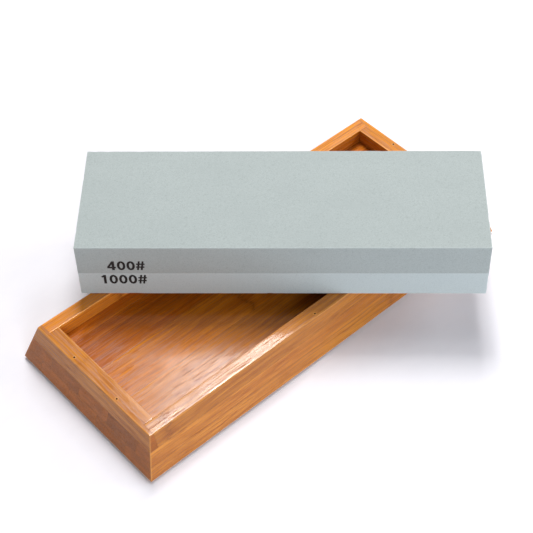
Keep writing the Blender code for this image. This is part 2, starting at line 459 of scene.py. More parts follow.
@dataclass(frozen=True)
class BambooFinish:
    """Lacquered, caramel-coloured bamboo.

    Attributes:
        name: the material's name.
        grain: which way the fibres run.
        seed: what makes this piece's pattern its own.
        tone: how light the piece is beside the others; the back rail's tone also holds painted light.
        end_tone: how light its cut ends are beside the others'.
        gloss: the lacquer's roughness.
        relief: how deep the grain is.
        nodes: the cane's nodes that show.
        holes: the brad holes' places, in metres.
        pale: the lighter streaks, with deep for the darker ones and line for the thin ones.
        pith: the cut ends, with bundle for the dots in them.
        glue: the colour along the joints.
        bare: the colour where an edge is rubbed, and the painted highlight on the lifted fibres round the brad holes.
    """

    name: str
    grain: Grain
    seed: float
    tone: float = 1.0
    end_tone: float = 1.1
    gloss: float = 0.12
    relief: float = 0.025 * MM
    nodes: tuple[CulmNode, ...] = ()
    holes: tuple[Place, ...] = ()

    pale: Colour = (0.665, 0.257, 0.031)
    deep: Colour = (0.395, 0.117, 0.011)
    line: Colour = (0.290, 0.073, 0.006)
    pith: Colour = (0.381, 0.107, 0.009)
    bundle: Colour = (0.210, 0.047, 0.005)
    glue: Colour = (0.200, 0.055, 0.008)
    bare: Colour = (0.760, 0.350, 0.085)

    def build(self) -> bpy.types.Material:
        """Draws the material."""
        sheet, shader, material = new_material(self.name)
        place = sheet.millimetres(self.grain.value)
        fibres = sheet.use(fibre_effect(), Vector=place, Seed=self.seed)
        hands = sheet.use(handling_effect(), Vector=place, Seed=self.seed + 4.0)
        colour = sheet.mix(fibres["Streak"], toned(self.deep, self.tone), toned(self.pale, self.tone))
        dim = sheet.fade(fibres["Patch"], 0.0, 1.0, 0.3, 0.0)
        colour = sheet.mix(dim, colour, toned(self.deep, 0.9 * self.tone))
        colour = sheet.tint(colour, fibres["Line"], 0.55, toned(self.line, self.tone))
        colour = sheet.tint(colour, fibres["Fleck"], 0.55, toned(self.line, self.tone))
        colour = self.draw_nodes(sheet, place, colour)
        colour, cut = self.draw_end_grain(sheet, place, colour)
        colour = self.draw_edges(sheet, place, colour)
        colour = self.draw_mouths(sheet, place, colour)
        rough = self.draw_gloss(sheet, fibres, hands, cut)
        normal = sheet.bump(fibres["Height"], self.relief)
        sheet.fill(shader.inputs, Base_Color=colour, Roughness=rough, Normal=normal)
        return material

    def draw_nodes(self, sheet: Sheet, place: Value, colour: Value) -> Value:
        """Darkens the bands where the cane had its nodes."""
        for number, node in enumerate(self.nodes):
            band = sheet.use(
                culm_node_effect(), Vector=place, Along=node.along, Across=node.across, Slant=node.slant,
                Width=node.width, Reach=node.reach, Seed=self.seed + number,
            )
            colour = sheet.tint(colour, band["Band"], 0.75 * node.depth, toned(self.line, 1.1))
            colour = sheet.tint(colour, band["Ridge"], 0.8 * node.depth, toned(self.line, 0.6))
        return colour

    def draw_end_grain(self, sheet: Sheet, place: Value, colour: Value) -> tuple[Value, Value]:
        """Shows the fibres' cut ends on the faces across them.

        Args:
            sheet: the material's sheet.
            place: coordinates in millimetres, with the fibres along X.
            colour: the colour so far.

        Returns:
            The new colour, and the mask of the cut faces.
        """
        ends = sheet.use(end_grain_effect(), Vector=place, Seed=self.seed + 9.0)
        cut = sheet.stored("end_grain")
        low, high = (toned(self.pith, share * self.end_tone) for share in (0.82, 1.1))
        tone = sheet.mix(ends["Tone"], low, high)
        dotted = sheet.tint(tone, ends["Bundle"], 0.55, toned(self.bundle, self.end_tone))
        return sheet.mix(cut, colour, dotted), cut

    def draw_edges(self, sheet: Sheet, place: Value, colour: Value) -> Value:
        """Darkens the glue lines and rubs the open edges paler."""
        glued = edge_mask(sheet, place, "joint_distance", 0.26, 0.05, self.seed + 2.0)
        worn = edge_mask(sheet, place, "edge_distance", 0.75, 0.35, self.seed + 3.0)
        colour = sheet.tint(colour, glued, 0.4, self.glue)
        return sheet.tint(colour, worn, 0.35, toned(self.bare, self.tone))

    def draw_mouths(self, sheet: Sheet, place: Value, colour: Value) -> Value:
        """Paints lifted fibres, paler as a painted highlight, and painted shade in the mouth of each brad hole."""
        for hole in self.holes:
            spot = Matrix.Rotation(self.grain.value, 3, "Z") @ Vector((*hole, 0.0)) / MM
            mouth = sheet.use(brad_mouth_effect(), Vector=place, Hole=tuple(spot), Seed=self.seed)
            # Painted highlight on the lifted fibres, then painted shade in the brad hole.
            colour = sheet.tint(colour, mouth["Lifted"], 0.6, self.bare)
            colour = sheet.tint(colour, mouth["Stain"], 0.9, toned(self.line, 0.25))
        return colour

    def draw_gloss(self, sheet: Sheet, fibres: Mapping, hands: Mapping, cut: Value) -> Value:
        """The lacquer's roughness: smudged by hands, sunk along fibres, dull on cut ends."""
        rough = sheet.fade(fibres["Line"], 0.0, 1.0, self.gloss, self.gloss + 0.14)
        rough = sheet.maths("MULTIPLY_ADD", fibres["Fleck"], 0.3, rough)
        rough = sheet.maths("MULTIPLY_ADD", hands["Smudge"], 0.06, rough)
        rough = sheet.maths("MULTIPLY_ADD", hands["Dust"], 0.04, rough)
        return sheet.maths("MULTIPLY_ADD", cut, 0.25, rough)


@dataclass(frozen=True)
class GritFinish:
    """A bonded abrasive.

    Attributes:
        name: the material's name.
        pale: the lighter grains.
        deep: the darker grains.
        grain: how big the grains look, in millimetres.
        seed: what makes the pattern its own.
        bond: how strongly the edge by the other grit shows.
    """

    name: str
    pale: Colour
    deep: Colour
    grain: float
    seed: float
    bond: float

    def build(self) -> bpy.types.Material:
        """Draws the material."""
        sheet, shader, material = new_material(self.name)
        place = sheet.millimetres()
        grit = sheet.use(grit_effect(), Vector=place, Grain_Size=self.grain, Seed=self.seed)
        hands = sheet.use(handling_effect(), Vector=place, Seed=self.seed + 1.0)
        colour = sheet.mix(grit["Speck"], self.deep, self.pale)
        colour = sheet.tint(colour, grit["Dark Grain"], 0.35, toned(self.deep, 0.72))
        colour = sheet.tint(colour, grit["Cloud"], 0.22, toned(self.deep, 0.97))
        dusty = edge_mask(sheet, place, "edge_distance", 0.55, 0.25, self.seed + 2.0)
        bonded = edge_mask(sheet, place, "joint_distance", 0.55, 0.2, self.seed + 3.0)
        colour = sheet.tint(colour, dusty, 0.5, toned(self.pale, 1.2))
        colour = sheet.tint(colour, bonded, self.bond, toned(self.pale, 1.14))
        colour = sheet.tint(colour, hands["Dust"], 0.12, toned(self.pale, 1.1))
        sheet.fill(
            shader.inputs, Base_Color=colour, Roughness=sheet.fade(grit["Speck"], 0.0, 1.0, 0.82, 0.95),
            Specular_IOR_Level=0.35, Normal=sheet.bump(grit["Height"], 0.035 * MM),
        )
        return material


@dataclass(frozen=True)
class InkFinish:
    """Matt black ink that sinks into the pores it is printed on."""

    name: str = "printed_ink"
    ink: Colour = (0.006, 0.006, 0.007)
    thin: Colour = (0.045, 0.048, 0.05)

    def build(self) -> bpy.types.Material:
        """Draws the material."""
        sheet, shader, material = new_material(self.name)
        place = sheet.millimetres()
        grit = sheet.use(grit_effect(), Vector=place, Grain_Size=0.28, Seed=3.0)
        sheet.fill(
            shader.inputs, Base_Color=sheet.tint(self.ink, sheet.fade(grit["Speck"], 0.55, 1.0), 0.5, self.thin),
            Roughness=sheet.fade(grit["Speck"], 0.0, 1.0, 0.6, 0.85), Normal=sheet.bump(grit["Height"], 0.02 * MM),
        )
        return material


@dataclass(frozen=True)
class SteelFinish:
    """Drawn steel wire that has lost its shine, with rust in its scratches."""

    name: str = "brad_steel_wire"
    clean: Colour = (0.42, 0.41, 0.40)
    tarnish: Colour = (0.16, 0.13, 0.11)
    rust: Colour = (0.20, 0.075, 0.03)

    def build(self) -> bpy.types.Material:
        """Draws the material."""
        sheet, shader, material = new_material(self.name)
        place = sheet.millimetres()
        hands = sheet.use(handling_effect(), Vector=sheet.stretch(place, (9.0, 9.0, 3.0)), Seed=6.0)
        scratch = sheet.cloud(sheet.stretch(place, (9.0, 9.0, 0.6)), 1.0, 4.0, 0.6)
        colour = sheet.mix(sheet.fade(scratch, 0.35, 0.65), self.tarnish, self.clean)
        colour = sheet.tint(colour, hands["Smudge"], 0.6, self.rust)
        sheet.fill(
            shader.inputs, Base_Color=colour, Metallic=sheet.fade(hands["Smudge"], 0.3, 1.0, 1.0, 0.35),
            Roughness=sheet.fade(scratch, 0.3, 0.7, 0.62, 0.34), Normal=sheet.bump(scratch, 0.01 * MM),
        )
        return material


@dataclass(frozen=True)
class RubberFinish:
    """Moulded black rubber with dust in its texture."""

    name: str = "foot_rubber"
    rubber: Colour = (0.022, 0.022, 0.023)
    dust: Colour = (0.16, 0.15, 0.14)

    def build(self) -> bpy.types.Material:
        """Draws the material."""
        sheet, shader, material = new_material(self.name)
        place = sheet.millimetres()
        grit = sheet.use(grit_effect(), Vector=place, Grain_Size=0.22, Seed=8.0)
        hands = sheet.use(handling_effect(), Vector=place, Seed=8.0)
        dusty = sheet.maths("MAXIMUM", hands["Dust"], grit["Dark Grain"])
        sheet.fill(
            shader.inputs, Base_Color=sheet.tint(self.rubber, dusty, 0.35, self.dust),
            Roughness=sheet.fade(hands["Smudge"], 0.0, 1.0, 0.55, 0.8), Normal=sheet.bump(grit["Height"], 0.03 * MM),
        )
        return material


@dataclass(frozen=True)
class FloorFinish:
    """A plain pale studio table that fades into the white room far out.

    Attributes:
        name: the material's name.
        pale: its clean colour.
        faint: its smudges.
        fade_from: how far from the middle it starts to fade, in millimetres.
        fade_to: where it is gone.
    """

    name: str = "studio_floor"
    pale: Colour = (0.925, 0.905, 0.945)
    faint: Colour = (0.910, 0.890, 0.932)
    fade_from: float = 520.0
    fade_to: float = 1250.0

    def build(self) -> bpy.types.Material:
        """Draws the material."""
        sheet, shader, material = new_material(self.name)
        place = sheet.millimetres()
        hands = sheet.use(handling_effect(), Vector=place, Seed=1.0)
        far = sheet.vector_maths("LENGTH", place)
        sheet.fill(
            shader.inputs, Base_Color=sheet.mix(hands["Smudge"], self.pale, self.faint),
            Roughness=sheet.fade(hands["Smudge"], 0.0, 1.0, 0.7, 0.78), Specular_IOR_Level=0.2,
            Alpha=sheet.fade(far, self.fade_from, self.fade_to, 1.0, 0.0),
        )
        return material


# ---- Meshes ----


def rectangle(low_x: float, high_x: float, low_y: float, high_y: float) -> Outline:
    """A plan outline, from the low corner and round by the high X."""
    return [(low_x, low_y), (high_x, low_y), (high_x, high_y), (low_x, high_y)]


def beside(place: Place, start: Place, end: Place) -> float:
    """How far a place lies from the stretch between two others, in plan."""
    run = Vector(end) - Vector(start)
    offset = Vector(place) - Vector(start)
    share = min(1.0, max(0.0, offset.dot(run) / max(run.length_squared, 1e-18)))
    return (offset - run * share).length


@dataclass
class Prism:
    """A piece cut to a plan outline that may change with height.

    Attributes:
        outline_at: the plan outline at a height, with its corners in turn.
        walls: what each wall is, from its corner to the next.
        low: the height of the lower face.
        high: the height of the upper face.
        base: what the lower face is.
        top: what the upper face is.
    """

    outline_at: Callable[[float], Outline]
    walls: Sequence[Face]
    low: float
    high: float
    base: Face
    top: Face

    def solid(self) -> Shape:
        """The sharp solid, with each edge's easing stored as its bevel weight."""
        shape = bmesh.new()
        weight = shape.edges.layers.float.new("bevel_weight_edge")
        lower, upper = (
            [shape.verts.new((x, y, height)) for x, y in self.outline_at(height)] for height in (self.low, self.high)
        )
        shape.faces.new(list(reversed(lower)))
        shape.faces.new(upper)
        count = len(self.walls)
        skin(shape, (lower, upper), count)
        for here in range(count):
            after = (here + 1) % count
            wall = self.walls[here]
            for first, second, other in (
                (lower[here], lower[after], self.base),
                (upper[here], upper[after], self.top),
                (lower[after], upper[after], self.walls[after]),
            ):
                edge = shape.edges.get((first, second))
                edge[weight] = min(wall.ease, other.ease) / BROADEST_EASE
        bmesh.ops.recalc_face_normals(shape, faces=shape.faces)
        return shape

    def insets(self, depths: Iterable[float]) -> list[Plane]:
        """Planes inside every face, parallel to it, at each depth.

        Args:
            depths: how far in they lie.

        Returns:
            A point and a normal for each.
        """
        planes = []
        below, above = self.outline_at(self.low), self.outline_at(self.high)
        for depth in depths:
            for here in range(len(self.walls)):
                start, end = Vector((*below[here], self.low)), Vector((*below[(here + 1) % len(below)], self.low))
                up = Vector((*above[here], self.high)) - start
                outward = (end - start).cross(up).normalized()
                planes.append((start - outward * depth, outward))
            planes.append((Vector((0, 0, self.low + depth)), Vector((0, 0, 1))))
            planes.append((Vector((0, 0, self.high - depth)), Vector((0, 0, 1))))
        return planes

    def distances(self, place: Vector) -> list[tuple[float, Face]]:
        """How far a place lies from each wall, the lower face and the upper face, in that order."""
        outline = self.outline_at(min(self.high, max(self.low, place.z)))
        found = [
            (beside((place.x, place.y), outline[here], outline[(here + 1) % len(outline)]), wall)
            for here, wall in enumerate(self.walls)
        ]
        return [*found, (abs(place.z - self.low), self.base), (abs(self.high - place.z), self.top)]


def skin(shape: Shape, rings: Sequence[Sequence[bmesh.types.BMVert]], sides: int) -> None:
    """Joins each ring of corners to the next. A ring of one corner closes to a point.

    Args:
        shape: what the faces are added to.
        rings: the rings, in turn.
        sides: how many corners a full ring has.
    """
    for lower, upper in zip(rings, rings[1:]):
        for here in range(sides):
            after = (here + 1) % sides
            places = ((lower, here), (lower, after), (upper, after), (upper, here))
            shape.faces.new(list(dict.fromkeys(ring[step % len(ring)] for ring, step in places)))


def eased(name: str, prism: Prism, cutters: Iterable[bpy.types.Object]) -> Shape:
    """Eases a prism's edges and takes the cutters out of it.

    Args:
        name: the piece's name.
        prism: its shape.
        cutters: what is taken away.

    Returns:
        The solid.
    """
    rough = place_mesh(name + "_blank", prism.solid())
    bevel = rough.modifiers.new("eased_edges", "BEVEL")
    bevel.width, bevel.segments, bevel.limit_method = BROADEST_EASE, EASE_SEGMENTS, "WEIGHT"
    for cutter in cutters:
        hole = rough.modifiers.new(cutter.name, "BOOLEAN")
        hole.operation, hole.solver, hole.object = "DIFFERENCE", "EXACT", cutter
    return taken_up(rough)


def taken_up(source: bpy.types.Object) -> Shape:
    """An object's mesh with its modifiers applied. The object is removed."""
    graph = bpy.context.evaluated_depsgraph_get()
    shape = bmesh.new()
    shape.from_object(source, graph)
    remove(source)
    return shape


def remove(*objects: bpy.types.Object) -> None:
    """Takes objects and their meshes out of the scene."""
    for unwanted in objects:
        mesh = unwanted.data
        bpy.data.objects.remove(unwanted, do_unlink=True)
        bpy.data.meshes.remove(mesh)


def place_mesh(name: str, shape: Shape) -> bpy.types.Object:
    """Puts a solid into the scene as an object, and frees it."""
    mesh = bpy.data.meshes.new(name)
    shape.to_mesh(mesh)
    shape.free()
    piece = bpy.data.objects.new(name, mesh)
    bpy.context.scene.collection.objects.link(piece)
    return piece


def parted(shape: Shape, planes: Iterable[Plane]) -> None:
    """Parts every face that a plane crosses."""
    for point, normal in planes:
        geometry = [*shape.verts, *shape.edges, *shape.faces]
        bmesh.ops.bisect_plane(shape, geom=geometry, dist=SAME_PLACE, plane_co=point, plane_no=normal)


def steps_between(low: float, high: float, step: float, axis: int) -> list[Plane]:
    """Planes across an axis at even steps between two places."""
    count = max(1, round((high - low) / step))
    normal = Vector([float(axis == part) for part in range(3)])
    return [(normal * (low + (high - low) * number / count), normal) for number in range(1, count)]


def store_distances(shape: Shape, prism: Prism, grain: Vector | None) -> None:
    """Stores how near each face's corners are to the open edges and to the joints, and which faces cut the fibres.

    Args:
        shape: the solid, before it is settled.
        prism: what it was cut from.
        grain: the fibres' direction, or None where there are none.
    """
    edge = shape.loops.layers.float.new("edge_distance")
    joint = shape.loops.layers.float.new("joint_distance")
    end = shape.faces.layers.float.new("end_grain")
    seen = {vert: prism.distances(vert.co) for vert in shape.verts}
    for face in shape.faces:
        middle = prism.distances(face.calc_center_median())
        own = min(range(len(middle)), key=lambda number: middle[number][0])
        face[end] = float(grain is not None and abs(face.normal.dot(grain)) > CUTS_FIBRES)
        for loop in face.loops:
            others = [found for number, found in enumerate(seen[loop.vert]) if number != own]
            loop[edge] = min([REACH, *(far for far, side in others if side.open)]) / MM
            loop[joint] = min([REACH, *(far for far, side in others if not side.open)]) / MM


def finish_mesh(piece: bpy.types.Object, material: bpy.types.Material) -> None:
    """Smooths a piece's eased edges, keeps its flats flat, and gives it a material."""
    piece.data.shade_smooth()
    piece.data.set_sharp_from_angle(angle=SMOOTH_ANGLE)
    piece.modifiers.new("flat_faces", "WEIGHTED_NORMAL").keep_sharp = True
    piece.data.materials.append(material)


# ---- The tray ----


@dataclass(frozen=True)
class TrayForm:
    """The tray's sizes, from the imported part.

    Attributes:
        length: the outer length at the board's bottom.
        width: the outer width there.
        bottom: the board's underside.
        ply: the line between the plies.
        floor: the pocket's floor, which is the board's top.
        rim: the frame's top.
        pocket: half the pocket's length and width.
        lip: where the end rails' lips meet the side rails' ends.
        upper_seams: the upper ply's seams, from the front.
        lower_seams: the lower ply's seams, from the front.
        lean: how far the sides lean in from the bottom to the rim.
    """

    length: float
    width: float
    bottom: float
    ply: float
    floor: float
    rim: float
    pocket: Place
    lip: float
    upper_seams: tuple[float, ...]
    lower_seams: tuple[float, ...]
    lean: float = 6.3 * MM

    @classmethod
    def from_frame(cls, strips: int) -> TrayForm:
        """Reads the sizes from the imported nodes' boxes."""
        numbers = range(1, strips + 1)
        plies = {ply: [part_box(f"{ply}_strip_{number}") for number in numbers] for ply in ("lower", "upper")}
        seams = {
            ply: tuple((near[1].y + far[0].y) / 2 for near, far in zip(boxes, boxes[1:]))
            for ply, boxes in plies.items()
        }
        first, top = plies["lower"][0], plies["upper"][0]
        far_rail, side_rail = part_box("far_end_rail"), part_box("back_side_rail")
        return cls(
            length=first[1].x - first[0].x,
            width=-2 * first[0].y,
            bottom=first[0].z,
            ply=(first[1].z + top[0].z) / 2,
            floor=top[1].z,
            rim=far_rail[1].z,
            pocket=(far_rail[0].x, side_rail[0].y),
            lip=side_rail[1].x,
            upper_seams=seams["upper"],
            lower_seams=seams["lower"],
        )

    def half(self, height: float) -> Place:
        """Half the outer length and width at a height."""
        leaned = self.lean * (height - self.bottom) / (self.rim - self.bottom)
        return self.length / 2 - leaned, self.width / 2 - leaned

    def strip_outline(self, low_seam: float | None, high_seam: float | None, height: float) -> Outline:
        """A strip's outline. A missing seam is the tray's leaning side."""
        along, across = self.half(height)
        low_y = -across if low_seam is None else low_seam
        high_y = across if high_seam is None else high_seam
        return rectangle(-along, along, low_y, high_y)

    def side_outline(self, side: int, height: float) -> Outline:
        """A side rail's outline, from lip to lip."""
        across = sorted((side * self.pocket[1], side * self.half(height)[1]))
        return rectangle(-self.lip, self.lip, *across)

    def end_outline(self, side: int, height: float) -> Outline:
        """An end rail's outline: a tongue between the side rails, and a lip over their ends."""
        along, across = self.half(height)
        inner, tongue = self.pocket
        right = [
            (along, -across), (along, across), (self.lip, across), (self.lip, tongue),
            (inner, tongue), (inner, -tongue), (self.lip, -tongue), (self.lip, -across),
        ]
        return right if side > 0 else [(-x, -y) for x, y in right]


@dataclass
class Tray:
    """The laminated bamboo tray.

    Attributes:
        strips: how many strips each ply has.
        cross_step: how closely the pieces are parted along their length.
        wave: how far the sanded surfaces wander.
        wave_length: over what length they do.
        end_fall: how far in the sander ran off the end rails, and how deep.
        side_fall: the same for the side rails.
        fall_height: how far down from the top that reaches.
        hole_radius: the brad holes' radius at their neck.
        hole_sides: how many sides they have.
        hole_bore: how much wider they are round the brad.
        hole_tear: how ragged they are.
    """

    strips: int = 5
    cross_step: float = 3.0 * MM
    wave: float = 0.035 * MM
    wave_length: float = 15.0 * MM
    end_fall: tuple[float, float] = (2.3 * MM, 0.07 * MM)
    side_fall: tuple[float, float] = (1.3 * MM, 0.03 * MM)
    fall_height: float = 1.2 * MM
    hole_radius: float = 0.33 * MM
    hole_sides: int = 22
    hole_bore: float = 1.7
    hole_tear: float = 0.35
    form: TrayForm = field(init=False)
    brads: dict[str, Place] = field(init=False)
    cutters: dict[str, bpy.types.Object] = field(init=False, default_factory=dict)

    def __post_init__(self) -> None:
        """Reads the tray's form and the brads' places."""
        self.form = TrayForm.from_frame(self.strips)
        self.brads = {}
        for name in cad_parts:
            if "brad" in name:
                low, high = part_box(name)
                self.brads[name] = ((low.x + high.x) / 2, (low.y + high.y) / 2)

    def build(self) -> None:
        """Builds every piece of the tray."""
        self.cutters = {name: self.bore(name) for name in self.brads}
        self.build_board()
        self.build_frame()
        remove(*self.cutters.values())
        self.build_feet()
        self.dress_brads()

    def bore(self, name: str) -> bpy.types.Object:
        """A cutter for one brad's hole: the fibres close in over the brad and are torn at its mouth."""
        low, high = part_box(name)
        x, y = self.brads[name]
        levels = (
            (low.z - 0.3 * MM, self.hole_bore), (high.z, self.hole_bore), (self.form.rim - 0.7 * MM, 1.0),
            (self.form.rim - 0.15 * MM, 1.03), (self.form.rim + 0.3 * MM, 1.5),
        )
        shape = bmesh.new()
        rings = []
        for level, spread in levels:
            ring = []
            for step in range(self.hole_sides):
                turn = math.tau * step / self.hole_sides
                torn = noise.noise(Vector((x / MM, y / MM, 1.3 * step))) * self.hole_tear
                radius = self.hole_radius * (spread + torn)
                ring.append(shape.verts.new((x + radius * math.cos(turn), y + radius * math.sin(turn), level)))
            rings.append(ring)
        skin(shape, rings, self.hole_sides)
        shape.faces.new(rings[0])
        shape.faces.new(rings[-1])
        bmesh.ops.recalc_face_normals(shape, faces=shape.faces)
        return place_mesh(f"{name}_bore", shape)

    def make(
        self, name: str, node: str, slot: str, prism: Prism, finish: BambooFinish, fall: tuple[float, float] | None
    ) -> None:
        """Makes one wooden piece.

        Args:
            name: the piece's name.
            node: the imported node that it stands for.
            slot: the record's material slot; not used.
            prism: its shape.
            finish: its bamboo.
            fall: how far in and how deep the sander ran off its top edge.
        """
        low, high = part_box(node)
        crossed = [brad for brad, (x, y) in self.brads.items() if low.x < x < high.x and low.y < y < high.y]
        deep = [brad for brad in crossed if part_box(brad)[0].z < prism.high]
        shape = eased(name, prism, [self.cutters[brad] for brad in deep])
        lengthwise = 0 if finish.grain is Grain.ALONG_X else 1
        parted(shape, steps_between(low[lengthwise], high[lengthwise], self.cross_step, lengthwise))
        parted(shape, prism.insets((REACH, self.end_fall[0]) if fall else (REACH,)))
        store_distances(shape, prism, finish.grain.direction)
        for vert in shape.verts:
            vert.co = self.settled(vert.co, prism, fall)
        piece = place_mesh(name, shape)
        finish_mesh(piece, finish.build())
        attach(piece, "tray")
        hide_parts(node)
        LOG.info("%s: %d faces, %d brad holes", name, len(piece.data.polygons), len(deep))

    def settled(self, place: Vector, prism: Prism, fall: tuple[float, float] | None) -> Vector:
        """Where sanding leaves a point of the surface.

        Args:
            place: the point as cut.
            prism: its piece's shape.
            fall: how far in and how deep the sander ran off the piece's top edge.

        Returns:
            The point as sanded.
        """
        moved = place + noise.noise_vector(place / self.wave_length) * self.wave
        if fall:
            reach, depth = fall
            out = min(far for far, side in prism.distances(place) if side is Face.OUTSIDE)
            rise = min(1.0, max(0.0, 1 - (prism.high - place.z) / self.fall_height))
            moved.z -= depth * rise * max(0.0, 1 - out / reach)
        return moved

    def build_board(self) -> None:
        """The two plies of edge-glued strips."""
        form = self.form
        tones = {
            "lower": (1.17, 1.03, 0.95, 1.0, 0.96),
            "upper": (1.22, 1.1, 1.12, 0.98, 1.2),
        }
        end_tones = {
            "lower": (1.1, 1.04, 1.2, 1.22, 1.14),
            "upper": (1.1, 0.9, 1.16, 1.05, 1.14),
        }
        hues = {
            2: ((0.665, 0.240, 0.020), (0.385, 0.107, 0.009)),
            3: ((0.655, 0.218, 0.015), (0.360, 0.090, 0.006)),
            4: ((0.640, 0.177, 0.009), (0.350, 0.071, 0.004)),
            5: ((0.650, 0.200, 0.014), (0.360, 0.084, 0.006)),
        }
        canes = {
            ("upper", 3): (CulmNode(-18.0, -7.0, -0.12, 3.6, 9.0, 0.62),),
            ("upper", 2): (CulmNode(-63.0, -24.0, 0.1, 2.4, 8.0, 0.25),),
            ("lower", 1): (CulmNode(38.0, -40.0, 0.2, 4.0, 12.0, 0.35),),
            ("lower", 4): (CulmNode(55.0, 3.0, 0.05, 3.6, 12.0, 0.5),),
        }
        for ply, low, high, base, top, seams in (
            ("lower", form.bottom, form.ply, Face.UNDERSIDE, Face.JOINT, form.lower_seams),
            ("upper", form.ply, form.floor, Face.JOINT, Face.FLOOR, form.upper_seams),
        ):
            bounds = [None, *seams, None]
            for number in range(1, self.strips + 1):
                near, far = bounds[number - 1], bounds[number]
                walls = [
                    Face.JOINT if near is not None else Face.OUTSIDE, Face.OUTSIDE,
                    Face.JOINT if far is not None else Face.OUTSIDE, Face.OUTSIDE,
                ]
                prism = Prism(functools.partial(form.strip_outline, near, far), walls, low, high, base, top)
                pale, deep = hues.get(number, (BambooFinish.pale, BambooFinish.deep))
                finish = BambooFinish(
                    f"bamboo_{ply}_{number}", Grain.ALONG_X, number + 10.0 * (ply == "upper"),
                    tone=tones[ply][number - 1], end_tone=end_tones[ply][number - 1], gloss=0.11,
                    nodes=canes.get((ply, number), ()), pale=pale, deep=deep,
                )
                self.make(f"board_{ply}_{number}", f"{ply}_strip_{number}", "bamboo_board", prism, finish, None)

    def build_frame(self) -> None:
        """The four rails that stand on the board."""
        form = self.form
        end_walls = [
            Face.OUTSIDE, Face.OUTSIDE, Face.JOINT, Face.JOINT, Face.POCKET, Face.JOINT, Face.JOINT, Face.OUTSIDE,
        ]
        plan = {
            "near_end_rail": (-1, 31.0, 1.08, (CulmNode(11.0, 97.0, 0.1, 3.2, 6.0, 0.2),)),
            "far_end_rail": (1, 32.0, 1.3, ()),
            "front_side_rail": (-1, 33.0, 1.06, (CulmNode(-90.0, -40.0, 0.3, 4.6, 8.0, 0.5),)),
            # The back rail's tone of 1.45 is painted light: the whole rail is made lighter to stand in for fill light
            # where the stone's shadow falls on it.
            "back_side_rail": (1, 34.0, 1.45, (CulmNode(-58.0, 37.0, 0.2, 5.0, 8.0, 0.5),)),
        }
        for node, (side, seed, tone, canes) in plan.items():
            is_end = "end" in node
            outline = functools.partial(form.end_outline if is_end else form.side_outline, side)
            side_walls = [Face.OUTSIDE, Face.JOINT, Face.POCKET, Face.JOINT]
            if side > 0:
                side_walls = [Face.POCKET, Face.JOINT, Face.OUTSIDE, Face.JOINT]
            prism = Prism(outline, end_walls if is_end else side_walls, form.floor, form.rim, Face.JOINT, Face.RIM)
            low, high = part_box(node)
            holes = tuple(
                place for place in self.brads.values() if low.x < place[0] < high.x and low.y < place[1] < high.y
            )
            finish = BambooFinish(
                f"bamboo_{node}", Grain.ALONG_Y if is_end else Grain.ALONG_X, seed,
                tone=tone, nodes=canes, holes=holes,
            )
            fall = self.end_fall if is_end else self.side_fall
            self.make(f"frame_{node}", node, "bamboo_rail", prism, finish, fall)

    def build_feet(self) -> None:
        """Thin moulded feet, each with a rolled edge and a hollow in its sole."""
        rubber = RubberFinish().build()
        for node in sorted(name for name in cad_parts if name.startswith("foot_")):
            low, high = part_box(node)
            radius = (high.x - low.x) / 2
            top = self.form.bottom
            profile = (
                (0.0, 0.28 * MM), (0.42 * radius, 0.26 * MM), (0.52 * radius, 0.08 * MM), (0.60 * radius, 0.0),
                (0.86 * radius, 0.0), (0.95 * radius, 0.10 * MM), (0.99 * radius, 0.30 * MM), (radius, 0.45 * MM),
                (0.99 * radius, 0.66 * MM), (0.95 * radius, 0.84 * MM), (0.90 * radius, high.z), (0.90 * radius, top),
                (0.0, top),
            )
            piece = place_mesh(f"rubber_{node}", self.turned(profile))
            piece.data.transform(Matrix.Translation(((low.x + high.x) / 2, (low.y + high.y) / 2, 0.0)))
            finish_mesh(piece, rubber)
            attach(piece, "tray")
            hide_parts(node)
            LOG.info("%s: %d faces", piece.name, len(piece.data.polygons))

    def turned(self, profile: Sequence[Place], sides: int = 56) -> Shape:
        """A solid turned about Z.

        Args:
            profile: radius and height of each ring, from the sole's middle round to the top's middle.
            sides: how many sides it has.

        Returns:
            The solid.
        """
        shape = bmesh.new()
        rings = []
        for radius, height in profile:
            turns = [math.tau * step / sides for step in range(sides)] if radius > 0 else [0.0]
            places = [(radius * math.cos(turn), radius * math.sin(turn), height) for turn in turns]
            rings.append([shape.verts.new(place) for place in places])
        skin(shape, rings, sides)
        bmesh.ops.recalc_face_normals(shape, faces=shape.faces)
        return shape

    def dress_brads(self) -> None:
        """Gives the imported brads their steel."""
        steel = SteelFinish().build()
        for name in self.brads:
            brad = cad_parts[name]
            for place in brad.material_slots:
                place.material = steel
            LOG.info("%s: dressed", name)


# ---- The stone ----


